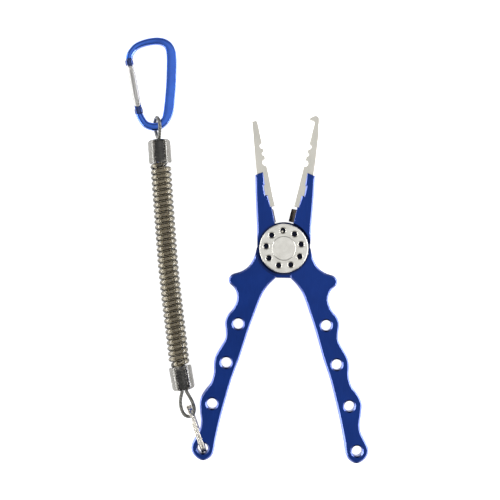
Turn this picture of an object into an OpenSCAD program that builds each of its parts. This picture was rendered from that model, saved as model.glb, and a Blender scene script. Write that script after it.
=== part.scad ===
// Fishing pliers lying open on a flat surface, on a coiled lanyard with a snap hook.
// X and Y span the plane of the tool, +Y points along the jaws, and +Z is up.
// The origin is on the pivot axis, at the flat back of the pivot nut, which rests on the surface.

/* [Pliers] */
// Angle between the jaw faces where the halves rest, open
open_angle = 25.6; // [18:0.2:25.6]
// Turn of the whole tool about the pivot
lean = -1.1; // [-3:0.1:3]
// Thickness of each half's plate
plate_t = 8; // [7.6:0.1:8.4]
// Radius of the boss that each half laps over the other
boss_r = 14.3; // [14.2:0.1:14.4]
// Radius of the four lightening holes in each handle
hole_r = 2.85; // [2.7:0.05:2.95]
// Width of the chamfer round each lightening hole
hole_chamfer = 0.75; // [0.3:0.05:0.9]

/* [Pivot] */
// Radius of the front disc
disc_r = 13.3; // [12.5:0.1:13.8]
// Thickness of the front disc
disc_t = 2.4; // [2.2:0.1:3]
// Number of spring holes in the front disc
disc_holes = 9; // [6:1:10]
// Radius of each spring hole
disc_hole_r = 1.45; // [1.1:0.05:1.6]
// Radius of the circle that the spring holes lie on
spring_r = 9.7; // [9.6:0.05:9.8]
// Radius of the centre screw's head
screw_head_r = 6.6; // [6:0.1:6.8]
// Radius of the pivot nut's flange at the back
nut_r = 11; // [9:0.5:12]
// Thickness of the pivot nut's flange, which lifts the halves off the surface
nut_t = 2; // [1.9:0.1:2.1]
// Outer radius of the bush that half A turns on
bush_r = 5.5; // [5:0.1:6]

/* [Jaws] */
// Thickness of the steel jaws where they leave the halves
jaw_t = 6.8; // [6:0.1:7.2]
// Thickness of the steel jaws at their tips
tip_t = 4.4; // [3.6:0.1:5]
// Thickness of the tongue that holds each jaw in its half
tongue_t = 4; // [3.6:0.1:4.4]
// Thickness of the cutting blades
blade_t = 5.6; // [5:0.1:6]

/* [Lanyard] */
// Outer diameter of the coiled cord
coil_d = 11.7; // [11:0.1:12]
// Outer diameter of the sleeves on the coil's ends
sleeve_d = 12.5; // [12:0.1:12.5]
// Length of each sleeve
sleeve_l = 13.2; // [12.6:0.1:13.4]
// Diameter of the coated wire that forms the eyes
wire_d = 2; // [1.8:0.1:2]
// Diameter of the split ring's wire
ring_wire_d = 1.4; // [1.2:0.1:1.4]

/* [Snap hook] */
// Thickness of the snap hook's bar, square to its plane
hook_t = 4.6; // [4.2:0.1:4.6]
// Diameter of the snap hook's gate
gate_d = 4.2; // [4:0.1:4.2]
// How far the hook lies tilted, nose down, from the raised eye to the surface
hook_tilt = 3.9; // [3.5:0.1:3.9]

/* [Hidden] */
$fn = 96;

// Colours
anodised = [0.09, 0.2, 0.55];
bright_blue = [0.16, 0.36, 0.82];
stainless = [0.8, 0.78, 0.73];
polished = [0.88, 0.88, 0.88];
carbide = [0.16, 0.15, 0.15];
bronze = [0.7, 0.5, 0.28];
smoke = [0.3, 0.28, 0.24, 0.8];
coated_wire = [0.42, 0.42, 0.42];

// Heights of the layers: nut flange, half B's lap, half A's lap, front disc
rear_z = nut_t;
front_z = rear_z + plate_t;
mid_z = (rear_z + front_z) / 2;
// Gap between the two laps, half on each side of the middle
lap_gap = 0.06;
// Gap between parts of one body that slip together
slip = 0.03;
// Radial running clearance of half A on its bush
running = 0.05;
// Reach of a cut past the face that it opens
over = 1;

// Turns from the closed, upright tool to each half where it rests
turn_a = lean + open_angle / 2;
turn_b = lean - open_angle / 2;

// A handle's outline in the closed tool, on the +X side: down the outer edge, with its finger
// guard and three finger swells, round the end, and up the inner edge to the crotch
handle_edge = [
    [14.3, -3], [14.5, -8.5], [16.2, -14], [19.6, -17.8], [23.8, -20.4], [25.1, -23.2],
    [24, -25.6], [21, -27.4], [18.8, -30.4], [18, -34], [18.9, -38.6], [20.9, -42.6],
    [21.4, -46.6], [20.1, -50.6], [19.1, -55.4], [20.6, -60.8], [22, -65.6], [21.9, -70.2],
    [20.7, -75.2], [21, -80.9], [23.3, -86], [24.5, -91.2], [23.2, -96.6], [21.3, -102],
    [20.8, -106.5], [21.9, -111.2], [23, -115.8], [22.2, -119.2], [19.4, -121.9],
    [15.2, -123], [11.9, -120.7], [10.5, -117], [10.9, -109], [11.1, -98], [10.8, -86],
    [10.3, -75], [9, -64], [8.4, -55.5], [7.7, -46], [6.7, -37], [5.4, -27.4], [3.4, -21.7],
    [0.4, -16.6]
];
// Centres of a handle's lightening holes; the last one takes a ring
handle_holes = [[14.2, -45.9], [15.5, -68], [17.6, -91.6], [16.7, -116.4]];
end_hole = handle_holes[3];

// An arm's outline in the closed tool, on the -X side: up its outer edge, then down the stepped
// seat of the steel jaw and the seat of the blade
arm_outer = [[-14.3, 0], [-14.2, 2.5], [-13.2, 7.5], [-11.8, 15.2], [-10.4, 24], [-8.9, 33], [-7.1, 42.4]];
jaw_seat = [[-2.7, 43], [-3.2, 35.9], [-3.8, 35.8], [-4, 30.4], [-2.8, 30.2], [-2.6, 23.6]];
blade_x = 1.9;
blade_y = [15, 22.2];

// A jaw's outer edge in the closed tool, on the -X side, from the arm's end to below the tip
jaw_outer = [[-6.1, 42.6], [-5.8, 46], [-5.2, 51.7], [-4.4, 57.8], [-3.6, 64.2]];
// Half the gap between the closed jaws
jaw_gap = 0.08;
// Height of the plain jaw's tip, just under the hook of the other jaw
plain_tip_y = 71.3;
// The hooked jaw's beak, as if it were on the -X side: up the back, over and down to the point
beak = [[-2.4, 69.4], [-2.1, 72], [-1.4, 74], [0.4, 74.5], [2, 73.5], [3.2, 71.9], [0.8, 71.6]];
// Crimping notches in each jaw's face: height, radius
notches = [[57.1, 1.5], [52.8, 1.1], [47.9, 1.9]];
// Where each jaw's face ends above the blades
jaw_foot_y = 23.6;
// Fine gripping teeth low on each jaw's face
teeth_y = [25, 36];
tooth_pitch = 0.95;
tooth_w = 0.34;

// Tongue of a jaw inside its arm, and its two screws
tongue = [[-2.9, 24.5], [-8.2, 25.5], [-5.6, 41.4], [-2.9, 41.4]];
jaw_screw_at = [[-6, 28], [-5, 38.4]];
// Small socket screws: radius and height of the head, and radius of the body
screw_head = [1.5, 1.2];
screw_body_r = 0.85;
// Tang of a blade inside its arm, and its two screws
tang_x = 5.4;
cutter_screw_at = [[-3.7, 16.6], [-3.7, 20.6]];
// Depth of the blades' cutting edges from the middle of the closed tool
edge_a_x = -1.15;
edge_b_x = -0.95;

// Recesses that the other half's boss turns in, at the arm and at the handle
arm_recess_r = boss_r + 0.4;
root_recess_r = boss_r + 1.1;
// The lug on half B that fills the crotch, and the recess that clears it under half A
lug = [[-1.2, -11], [-1.2, -16.3], [0.1, -16.6], [7.9, -14.8], [7, -11]];
lug_recess_r = 17.1;

// Torsion spring round the bush, in a ring-shaped pocket in half A; its upper leg bends out to a
// hole of the disc
spring_wire_r = 0.5;
spring_coil_r = 7.5;
spring_leg_r = 9.2;
spring_pocket = [6.7, 11.1];
spring_pocket_z = front_z - 3.4;
spring_turns = 1.5;
spring_pitch = 1.15;
// Direction of the disc hole that holds the spring's upper leg
spring_hole_angle = 93;

// Stop pin in half B, running in a curved slot under half A
stop_r = 12.5;
stop_pin_r = 0.8;
stop_angle = 200;
// Angle that the pin's radius and its clearance take at each end of the slot
stop_reach = asin((stop_pin_r + running) / stop_r);

// Pivot stack
washer_t = 0.5;
washer_r = 11;
barrel_r = 4;
screw_shank_r = 2;
disc_z = front_z + 0.1;
counterbore_z = disc_z + 1;
screw_proud = 0.4;

// Coiled cord: the line through the middle of its turns
lower_end = [-56.8, -64.5, 6.25];
upper_end = [-67.4, 46.5, 6.25];
lower_angle = -80;
upper_angle = 94;
coil_route = [
    lower_end, along(lower_end, lower_angle, [-2, 0, 0]), [-58.6, -50, 6.1], [-60.9, -31, 6],
    [-63, -12, 6], [-64.6, 8, 6], [-66, 27, 6.1],
    along(upper_end, upper_angle, [-2, 0, 0]), upper_end
];

// Sleeves and crimps, along X from the coil's end
sleeve_bore_r = 3.4;
sleeve_round = 2;
crimp_r = 3.3;
crimp_x = [2.4, 12];
// Half the distance between an eye's two wires in its crimp
wire_apart = 1.15;

// The lower eye lies flat round the split ring; the upper eye stands over the hook's bar
lower_loop = [
    [3, -wire_apart, 0], [13, -wire_apart, 0], [15.4, -1.9, 0], [19, -3.1, 0], [23.6, -3.2, 0],
    [26.8, -2, 0], [28, 0.2, 0], [27.2, 2.4, 0], [24.6, 3.6, 0], [21, 3.4, 0], [17.4, 2.3, 0],
    [14.6, 1.3, 0], [13, wire_apart, 0], [3, wire_apart, 0]
];
upper_loop = [
    [3, 0, wire_apart], [12, 0, wire_apart], [13.2, 0, wire_apart], [16.2, -0.8, 2.2], [20.1, -1.2, 2.95],
    [23.6, -0.8, 2], [25.4, 0.3, -0.4], [23.7, 1.5, -3], [20.3, 1.9, -4.15], [16, 1.2, -2.8],
    [13.2, 0, -wire_apart], [12, 0, -wire_apart], [3, 0, -wire_apart]
];

// Split ring: a long link of two turns, standing on edge round the handle's end
ring_top_z = front_z + 0.2 + ring_wire_d / 2;
ring_low_z = rear_z - 0.2 - ring_wire_d / 2;
ring_round = (ring_top_z - ring_low_z) / 2;
ring_l = 26;
ring_angle = 109;
// How far the ring's end stands past the middle of the hole
ring_past = 2;
// Part of a turn in which the wire steps across to the second turn
ring_step = 0.12;
ring_start = 0.31;

// Snap hook: the middle of its bar and the bar's width, from the nose over the top and down
hook_line = [
    [-84.5, 100.6, 4.4], [-84.9, 103.9, 4.3], [-84.1, 107.4, 4.2], [-80.9, 111.2, 4.2],
    [-75.5, 113.4, 4.3], [-69.6, 114.2, 4.4], [-65.2, 113.1, 4.8], [-62.6, 110.3, 5.4],
    [-61.5, 105.4, 5.9], [-61.5, 96, 6], [-61.8, 88.5, 6], [-62.3, 82, 6], [-63, 75.4, 6],
    [-64.5, 70.7, 5.2], [-67.3, 67.6, 4.7], [-71, 66.6, 4.7], [-75.6, 68.1, 4.5],
    [-78.6, 72.4, 4.5], [-79.7, 76.8, 4.5]
];
hook_pivot = [-80.2, 79.7];
hook_bar = [-71, 66.6, 5.6];
gate_angle = 101;
gate_l = 20.6;
ear_t = 1.6;
ear_r = 1.9;
rivet_r = 0.8;
latch_at = 19;
latch_r = 0.55;
plunger_bore_r = 1.15;
plunger_x = [ear_r + 0.05, ear_r + 3.05];
gate_spring_x = [plunger_x[1], 12.5];

// A point given along an axis that starts at p and runs at an angle in the XY plane
function along(p, angle, v) =
    p + [v.x * cos(angle) - v.y * sin(angle), v.x * sin(angle) + v.y * cos(angle), v.z];
// A point on the smooth curve from b to c, with neighbours a and d
function between(a, b, c, d, t) =
    (2 * b + (c - a) * t + (2 * a - 5 * b + 4 * c - d) * t * t + (3 * b - a - 3 * c + d) * t * t * t) / 2;
// A smooth curve through all the points, with steps stretches between each two
function smooth(points, steps) = let (last = len(points) - 1) concat(
    [for (i = [0 : last - 1], j = [0 : steps - 1])
        between(points[max(i - 1, 0)], points[i], points[i + 1], points[min(i + 2, last)], j / steps)],
    [points[last]]);
function unit(v) = v / norm(v);
function tangent(path, i) = unit(path[min(i + 1, len(path) - 1)] - path[max(i - 1, 0)]);
// Points round one ring of a tube: half_w across, half_t along up
function ring_points(path, up, half_w, half_t, sides, i) =
    let (t = tangent(path, i), side = unit(cross(t, is_list(up[0]) ? up[i] : up)), top = cross(side, t))
    [for (k = [0 : sides - 1])
        path[i] + half_w * cos(360 * k / sides) * side + half_t * sin(360 * k / sides) * top];

// A tube along a path, with its rings kept level with up, which is one vector or one for each
// point; half_w has a value for each point
module tube(path, up, half_w, half_t, sides) {
    last = len(path) - 1;
    rings = [for (i = [0 : last], p = ring_points(path, up, half_w[i], half_t, sides, i)) p];
    walls = [for (i = [0 : last - 1], k = [0 : sides - 1])
        let (a = i * sides + k, b = i * sides + (k + 1) % sides, c = a + sides, d = b + sides)
        each [[a, b, d], [a, d, c]]];
    first_cap = [for (k = [0 : sides - 1]) sides - 1 - k];
    last_cap = [for (k = [0 : sides - 1]) last * sides + k];
    polyhedron(rings, concat(walls, [first_cap, last_cap]));
}
module even_tube(path, up, r, sides) {
    tube(path, up, [for (p = path) r], r, sides);
}
// A flat layer of the tool between two heights
module layer(low, high) {
    translate([0, 0, low]) linear_extrude(high - low) children();
}
module rod(at, r, low, high) {
    translate([at.x, at.y, low]) cylinder(r = r, h = high - low);
}
module polar(r, angle) {
    rotate(angle) translate([r, 0]) children();
}
// A curved slot about the origin, between two heights
module arc_slot(r, half_w, from, to, low, high) {
    rotate(from) rotate_extrude(angle = to - from)
        translate([r - half_w, low]) square([2 * half_w, high - low]);
}
module place_a() {
    rotate(turn_a) children();
}
module place_b() {
    rotate(turn_b) mirror([1, 0, 0]) children();
}

// --- The two halves ---

module handle_outline() {
    polygon(concat(smooth(handle_edge, 4), [[0.4, -9], [13, -1]]));
}
module arm_outline() {
    polygon(concat(smooth(arm_outer, 4), jaw_seat, [[-blade_x, jaw_foot_y], [-blade_x, 12], [-8, 0]]));
}
module hole_with_chamfers(at) {
    rod(at, hole_r, rear_z - over, front_z + over);
    for (side = [0, 1])
        translate([at.x, at.y, side == 0 ? rear_z : front_z])
            mirror([0, 0, side])
                translate([0, 0, -over])
                    cylinder(r1 = hole_r + hole_chamfer + over, r2 = hole_r, h = hole_chamfer + over);
}
// One half in the closed tool, without its boss; its lap is cut out between two heights
module half_plate(recess_low, recess_high) {
    difference() {
        layer(rear_z, front_z) {
            handle_outline();
            arm_outline();
        }
        layer(recess_low, recess_high) {
            circle(r = arm_recess_r);
            intersection() {
                circle(r = root_recess_r);
                translate([-20, -20]) square([40, 16]);
            }
        }
        for (at = handle_holes) hole_with_chamfers(at);
        jaw_pocket();
        blade_pocket();
    }
}
module jaw_pocket() {
    layer(mid_z - tongue_t / 2 - slip, mid_z + tongue_t / 2 + slip) offset(delta = slip) polygon(tongue);
    for (at = jaw_screw_at) screw_hole(at);
}
module blade_pocket() {
    layer(mid_z - tongue_t / 2 - slip, mid_z + tongue_t / 2 + slip)
        translate([-tang_x, blade_y[0]]) square([tang_x, blade_y[1] - blade_y[0]]);
    for (at = cutter_screw_at) screw_hole(at);
}
module screw_hole(at) {
    rod(at, screw_head[0] + slip, rear_z - over, rear_z + screw_head[1]);
    rod(at, screw_body_r + slip, rear_z, mid_z + tongue_t / 2 - 0.5);
}
module socket_screw(at) {
    difference() {
        union() {
            rod(at, screw_head[0], rear_z + 0.05, rear_z + screw_head[1]);
            rod(at, screw_body_r, rear_z + screw_head[1], mid_z + tongue_t / 2 - 0.6);
        }
        translate([at.x, at.y, rear_z - over]) cylinder(r = 0.8, h = over + 0.8, $fn = 6);
    }
}
module handle_a() {
    color(anodised) place_a() difference() {
        union() {
            difference() {
                half_plate(rear_z - over, mid_z + lap_gap / 2);
                layer(rear_z - over, mid_z + lap_gap / 2) intersection() {
                    circle(r = lug_recess_r);
                    polygon([[0, 0], [-5.2, -20], [13.2, -20]]);
                }
            }
            layer(mid_z + lap_gap / 2, front_z) circle(r = boss_r);
        }
        rod([0, 0], bush_r + running, 0, front_z + over);
        layer(spring_pocket_z, front_z + over) difference() {
            circle(r = spring_pocket[1]);
            circle(r = spring_pocket[0]);
        }
        rotate(spring_foot_angle() - turn_a) rod([spring_coil_r, 0], spring_wire_r + 0.1, mid_z, front_z);
        rotate(-turn_a) arc_slot(
            stop_r, stop_pin_r + running, stop_angle - stop_reach, stop_angle + open_angle + stop_reach,
            mid_z - over, mid_z + 2
        );
    }
}
module handle_b() {
    color(anodised) place_b() difference() {
        union() {
            half_plate(mid_z - lap_gap / 2, front_z + over);
            layer(rear_z, mid_z - lap_gap / 2) {
                circle(r = boss_r);
                mirror([1, 0]) polygon(lug);
            }
        }
        rod([0, 0], bush_r + slip, 0, front_z + over);
        rod([0, 0], washer_r + slip, mid_z - washer_t, mid_z + over);
        mirror([1, 0]) rotate(stop_angle - turn_b)
            rod([stop_r, 0], stop_pin_r + slip, mid_z - 2.5, mid_z + over);
    }
}

// --- Jaws, blades and their screws ---

// The side view that a jaw is cut to, thinning towards the tip
module jaw_side() {
    rotate([90, 0, -90]) linear_extrude(40, center = true) polygon([
        [-20, mid_z - jaw_t / 2], [-48, mid_z - jaw_t / 2], [-76, mid_z - tip_t / 2],
        [-76, mid_z + tip_t / 2], [-48, mid_z + jaw_t / 2], [-20, mid_z + jaw_t / 2]
    ]);
}
module jaw(tip) {
    difference() {
        union() {
            intersection() {
                layer(0, front_z + over) difference() {
                    polygon(concat(
                        [[-jaw_gap, jaw_foot_y], jaw_seat[5], jaw_seat[4], jaw_seat[3], jaw_seat[2],
                            jaw_seat[1], jaw_seat[0]],
                        smooth(jaw_outer, 3), tip));
                    for (n = notches) translate([-jaw_gap, n[0]]) circle(r = n[1], $fn = 48);
                    for (y = [teeth_y[0] : tooth_pitch : teeth_y[1]])
                        translate([-jaw_gap, y]) rotate(45) square(tooth_w, center = true);
                }
                jaw_side();
            }
            layer(mid_z - tongue_t / 2, mid_z + tongue_t / 2) polygon(tongue);
        }
        for (at = jaw_screw_at) rod(at, screw_body_r + slip, 0, mid_z + tongue_t / 2 - 0.5);
    }
}
module jaw_plain() {
    color(stainless) place_a() jaw([[-2.8, plain_tip_y], [-0.4, plain_tip_y], [-jaw_gap, plain_tip_y - 2]]);
}
module jaw_hooked() {
    color(stainless) place_b() jaw(concat(smooth(beak, 3), [[-jaw_gap, 70.9]]));
}
module jaw_screws_a() {
    color(stainless) place_a() for (at = jaw_screw_at) socket_screw(at);
}
module jaw_screws_b() {
    color(stainless) place_b() for (at = jaw_screw_at) socket_screw(at);
}
// A blade on the -X side with its edge at edge_x, and its tang in the arm behind
module blade(edge_x) {
    difference() {
        union() {
            translate([0, blade_y[1], mid_z]) rotate([90, 0, 0])
                linear_extrude(blade_y[1] - blade_y[0]) polygon([
                    [-blade_x, -blade_t / 2], [-blade_x, blade_t / 2],
                    [edge_x - 0.1, 0.12], [edge_x, 0], [edge_x - 0.1, -0.12]
                ]);
            translate([-tang_x, blade_y[0] + slip, mid_z - tongue_t / 2])
                cube([tang_x - blade_x, blade_y[1] - blade_y[0] - 2 * slip, tongue_t]);
        }
        for (at = cutter_screw_at) rod(at, screw_body_r + slip, 0, mid_z + tongue_t / 2 - 0.5);
    }
}
module cutter_a() {
    color(carbide) place_a() blade(edge_a_x);
}
module cutter_b() {
    color(carbide) place_b() blade(-edge_b_x);
}
module cutter_screws_a() {
    color(stainless) place_a() for (at = cutter_screw_at) socket_screw(at);
}
module cutter_screws_b() {
    color(stainless) place_b() for (at = cutter_screw_at) socket_screw(at);
}

// --- Pivot ---

module pivot_disc() {
    color(stainless) difference() {
        rod([0, 0], disc_r, disc_z, disc_z + disc_t);
        rod([0, 0], screw_shank_r + slip, disc_z - over, disc_z + disc_t);
        rod([0, 0], screw_head_r + slip, counterbore_z, disc_z + disc_t + over);
        for (i = [0 : disc_holes - 1])
            polar(spring_r, spring_hole_angle + i * 360 / disc_holes) {
                cylinder(r = disc_hole_r, h = 30);
                translate([0, 0, disc_z + disc_t - 0.5])
                    cylinder(r1 = disc_hole_r, r2 = disc_hole_r + 1.5, h = 1.5);
            }
    }
}
module pivot_screw() {
    color(stainless) {
        rod([0, 0], screw_head_r, counterbore_z, disc_z + disc_t + screw_proud);
        rod([0, 0], screw_shank_r, rear_z, counterbore_z);
    }
}
module pivot_nut() {
    color(stainless) difference() {
        union() {
            rod([0, 0], nut_r, 0, nut_t);
            rod([0, 0], barrel_r, nut_t, disc_z);
        }
        rod([0, 0], screw_shank_r + slip, rear_z - slip, front_z + over);
    }
}
module pivot_bush() {
    color(bronze) difference() {
        rod([0, 0], bush_r, rear_z, front_z);
        rod([0, 0], barrel_r + slip, 0, front_z + over);
    }
}
module lap_washer() {
    color(bronze) difference() {
        rod([0, 0], washer_r, mid_z - washer_t, mid_z);
        rod([0, 0], bush_r + slip, 0, front_z);
    }
}
// Where the spring's lower leg stands in half A
function spring_foot_angle() = spring_hole_angle - 360 * spring_turns;
module return_spring() {
    low = spring_pocket_z + 0.2 + spring_wire_r;
    high = low + spring_pitch * spring_turns;
    bend = 8;
    run = 360 * spring_turns;
    coils = [for (a = [bend : 15 : run - 2 * bend]) [a, spring_coil_r, low + spring_pitch * a / 360]];
    // Angle from the lower leg, radius and height: up the lower leg, round the coils, out and up
    stations = concat(
        [[0, spring_coil_r, mid_z + 0.4], [0, spring_coil_r, low - 0.6], [1, spring_coil_r, low - 0.2]],
        coils,
        [[run - bend, spring_coil_r + 0.3, high], [run - 1, spring_leg_r - 0.7, high + 0.2],
            [run + 1.6, spring_leg_r - 0.1, high + 0.7], [run + 2, spring_leg_r, high + 1.4],
            [run + 2, spring_leg_r, disc_z + disc_t - 0.4]]
    );
    radial = [for (s = stations) [cos(spring_foot_angle() + s[0]), sin(spring_foot_angle() + s[0]), 0]];
    path = [for (i = [0 : len(stations) - 1]) stations[i][1] * radial[i] + [0, 0, stations[i][2]]];
    color(stainless) even_tube(path, radial, spring_wire_r, 8);
}
module stop_pin() {
    color(stainless) rotate(stop_angle) rod([stop_r, 0], stop_pin_r, mid_z - 2.5, mid_z + 1.8);
}

// --- Lanyard ---

ring_from = along([0, 0, 0], turn_b, [-end_hole.x, end_hole.y, 0])
    - along([0, 0, 0], ring_angle, [ring_past, 0, 0]);
// A point of the ring's link, t turns round from the middle of its top run, y across
function link_point(t, y) =
    let (
        straight = ring_l - 2 * ring_round,
        round = 180 * ring_round * PI / 180,
        s = (t - floor(t)) * 2 * (straight + round),
        mid = (ring_top_z + ring_low_z) / 2
    )
    s < straight ? [ring_round + s, y, ring_top_z]
    : s < straight + round ? let (a = 90 - 180 * (s - straight) / round)
        [ring_round + straight + ring_round * cos(a), y, mid + ring_round * sin(a)]
    : s < 2 * straight + round ? [ring_round + 2 * straight + round - s, y, ring_low_z]
    : let (a = 270 - 180 * (s - 2 * straight - round) / round)
        [ring_round + ring_round * cos(a), y, mid + ring_round * sin(a)];
// How far across the link the wire lies, t turns from its first end
function ring_across(t) =
    let (step = min(max((t - 1 + ring_step) / ring_step, 0), 1))
    (ring_wire_d / 2 + 0.02) * (1 - cos(180 * step) - 1);
module split_ring() {
    turns = 2 - ring_step;
    path = [for (t = [0 : 1 / 40 : turns])
        along([0, 0, 0], ring_angle, link_point(t + ring_start, ring_across(t))) + ring_from];
    color(polished) even_tube(path, along([0, 0, 0], ring_angle, [0, 1, 0]), ring_wire_d / 2, 8);
}

module at_end(end, angle) {
    translate(end) rotate(angle) children();
}
module sleeve() {
    r = sleeve_d / 2;
    corner = [for (a = [0 : 15 : 90])
        [r - sleeve_round + sleeve_round * cos(a), sleeve_l - sleeve_round + sleeve_round * sin(a)]];
    rotate([0, 90, 0]) rotate_extrude()
        polygon(concat([[sleeve_bore_r, 0], [r, 0]], corner, [[sleeve_bore_r, sleeve_l]]));
}
module crimp(up) {
    difference() {
        translate([crimp_x[0], 0, 0]) rotate([0, 90, 0]) cylinder(r = crimp_r, h = crimp_x[1] - crimp_x[0]);
        for (side = [-1, 1])
            rotate([up, 0, 0]) translate([0, side * wire_apart, 0]) rotate([0, 90, 0])
                cylinder(r = wire_d / 2 + slip, h = 20);
    }
}
function placed_path(end, angle, loop) = smooth([for (p = loop) along(end, angle, p)], 3);

module lower_eye() {
    color(coated_wire) even_tube(placed_path(lower_end, lower_angle, lower_loop), [0, 0, 1], wire_d / 2, 8);
}
module lower_crimp() {
    color(polished) at_end(lower_end, lower_angle) crimp(0);
}
module lower_sleeve() {
    color(smoke) at_end(lower_end, lower_angle) sleeve();
}
module coil() {
    color(smoke) even_tube(smooth(coil_route, 2), [0, 0, 1], coil_d / 2, 12);
}
module upper_sleeve() {
    color(smoke) at_end(upper_end, upper_angle) sleeve();
}
module upper_crimp() {
    color(polished) at_end(upper_end, upper_angle) crimp(90);
}
module upper_eye() {
    side = along([0, 0, 0], upper_angle, [0, 1, 0]);
    color(coated_wire) even_tube(placed_path(upper_end, upper_angle, upper_loop), side, wire_d / 2, 8);
}

// --- Snap hook ---

// The hook's plane, with its bottom bar held up by the eye and its far end on the surface
module in_hook_plane() {
    translate(hook_bar) rotate([-hook_tilt, 0, 0]) translate([-hook_bar.x, -hook_bar.y, 0])
        children();
}
// The gate's own axis, from its pivot towards the nose
module on_gate() {
    in_hook_plane() translate([hook_pivot.x, hook_pivot.y, 0]) rotate(gate_angle) children();
}
module hook_body() {
    line = smooth(hook_line, 3);
    color(bright_blue) {
        difference() {
            union() {
                in_hook_plane() tube(
                    [for (p = line) [p.x, p.y, 0]], [0, 0, 1],
                    [for (p = line) p.z / 2], hook_t / 2, 12
                );
                on_gate() {
                    translate([-4, -ear_r, -ear_t / 2]) cube([4, 2 * ear_r, ear_t]);
                    cylinder(r = ear_r, h = ear_t, center = true);
                }
                on_gate() translate([latch_at - 1.6, -1.2, -ear_t / 2]) cube([4, 2.4, ear_t]);
            }
            on_gate() cylinder(r = rivet_r + running, h = 20, center = true);
            on_gate() translate([latch_at, 0, 0]) {
                cylinder(r = latch_r + 0.15, h = 20, center = true);
                translate([-latch_r - 0.15, -5, -5]) cube([2 * latch_r + 0.7, 5, 10]);
            }
        }
    }
}
module hook_gate() {
    r = gate_d / 2;
    color(polished) on_gate() difference() {
        union() {
            rotate([0, 90, 0]) cylinder(r = r, h = gate_l);
            intersection() {
                cylinder(r = r, h = gate_d, center = true);
                rotate([0, 90, 0]) cylinder(r = r, h = 10, center = true);
            }
        }
        translate([-5, -5, -ear_t / 2 - 0.15]) cube([5 + ear_r + 0.05, 10, ear_t + 0.3]);
        translate([latch_at - 1.9, -5, -ear_t / 2 - 0.15]) cube([10, 10, ear_t + 0.3]);
        cylinder(r = rivet_r + slip, h = 20, center = true);
        translate([latch_at, 0, 0]) cylinder(r = latch_r + slip, h = 20, center = true);
        rotate([0, 90, 0]) cylinder(r = plunger_bore_r, h = gate_spring_x[1]);
    }
}
module gate_rivet() {
    color(polished) on_gate() cylinder(r = rivet_r, h = gate_d + 0.4, center = true);
}
module gate_plunger() {
    color(stainless) on_gate() translate([plunger_x[0], 0, 0]) rotate([0, 90, 0])
        cylinder(r = plunger_bore_r - slip, h = plunger_x[1] - plunger_x[0]);
}
module gate_spring() {
    wire_r = 0.2;
    mean_r = plunger_bore_r - slip - wire_r;
    run = gate_spring_x[1] - gate_spring_x[0] - 2 * wire_r;
    turns = 6;
    path = [for (a = [0 : 45 : 360 * turns])
        [gate_spring_x[0] + wire_r + run * a / (360 * turns), mean_r * cos(a), mean_r * sin(a)]];
    color(stainless) on_gate() even_tube(path, [1, 0, 0], wire_r, 6);
}
module latch_pin() {
    color(stainless) on_gate() translate([latch_at, 0, 0])
        cylinder(r = latch_r, h = gate_d - 0.4, center = true);
}

handle_a();
handle_b();
jaw_plain();
jaw_hooked();
jaw_screws_a();
jaw_screws_b();
cutter_a();
cutter_b();
cutter_screws_a();
cutter_screws_b();
pivot_disc();
pivot_screw();
pivot_nut();
pivot_bush();
lap_washer();
return_spring();
stop_pin();
split_ring();
lower_eye();
lower_crimp();
lower_sleeve();
coil();
upper_sleeve();
upper_crimp();
upper_eye();
hook_body();
hook_gate();
gate_rivet();
gate_spring();
gate_plunger();
latch_pin();
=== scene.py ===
"""Fishing pliers lying open on a white surface, with a coiled lanyard and a snap hook.

Lengths are in millimetres unless a name ends in _m or a comment says metres. The frame is the CAD's:
the origin is on the pivot axis, +Y runs along the jaws, and +Z is up from the surface.
"""

import math

import bmesh
import bpy
from mathutils import Matrix, Vector
from mathutils.geometry import delaunay_2d_cdt


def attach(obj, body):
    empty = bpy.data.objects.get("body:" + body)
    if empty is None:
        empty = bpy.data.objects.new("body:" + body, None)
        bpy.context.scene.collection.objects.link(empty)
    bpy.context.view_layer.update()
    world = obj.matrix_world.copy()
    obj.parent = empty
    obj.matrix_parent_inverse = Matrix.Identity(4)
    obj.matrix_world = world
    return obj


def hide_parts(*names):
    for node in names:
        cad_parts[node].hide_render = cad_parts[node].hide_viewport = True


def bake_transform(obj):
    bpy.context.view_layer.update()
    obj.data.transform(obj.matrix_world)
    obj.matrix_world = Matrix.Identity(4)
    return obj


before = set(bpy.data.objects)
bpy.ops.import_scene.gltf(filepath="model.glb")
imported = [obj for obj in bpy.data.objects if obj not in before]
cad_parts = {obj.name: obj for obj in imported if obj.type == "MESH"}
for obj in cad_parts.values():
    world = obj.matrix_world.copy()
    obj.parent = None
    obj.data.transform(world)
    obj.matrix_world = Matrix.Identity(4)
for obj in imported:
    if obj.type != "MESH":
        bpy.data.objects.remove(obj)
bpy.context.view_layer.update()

MM = 0.001
UP = Vector((0, 0, 1))

# Turns from the closed, upright tool to each half where it rests, in degrees
TURN_A = 11.7
TURN_B = -13.9
# Heights of the halves' back and front faces
REAR_Z = 2.0
FRONT_Z = 10.0
MID_Z = (REAR_Z + FRONT_Z) / 2
# Radii of the halves' round bosses and of the pivot's disc, and the height of the disc's face
BOSS_R = 14.3
DISC_R = 13.4
DISC_TOP = 12.5
# Middles of the collars at the snap hook's two ends
HOOK_COLLARS = ((-84.6, 102.1, 3.8), (-79.3, 75.4, 5.2))


# --- Camera, floor and light ---

VIEW_CENTRE = Vector((-18.4, -0.9, FRONT_Z))
VIEW_WIDTH = 272.5
LENS = 100
SENSOR = 36
# The nearest thing that the camera sees, in metres
CLIP_START_M = 0.01
FLOOR_HALF = 3000
FLOOR_GLOW = 0.85
# Each lamp's place and size, both in metres, and its power in watts
LAMPS = {
    "left_strip": ((-0.95, 0.0, 0.22), (1.3, 0.14), 5.5),
    "right_strip": ((0.9, 0.0, 0.22), (1.3, 0.14), 7),
    "overhead": ((0.55, 0.3, 1.6), (1.4, 1.4), 2.2),
}


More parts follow.
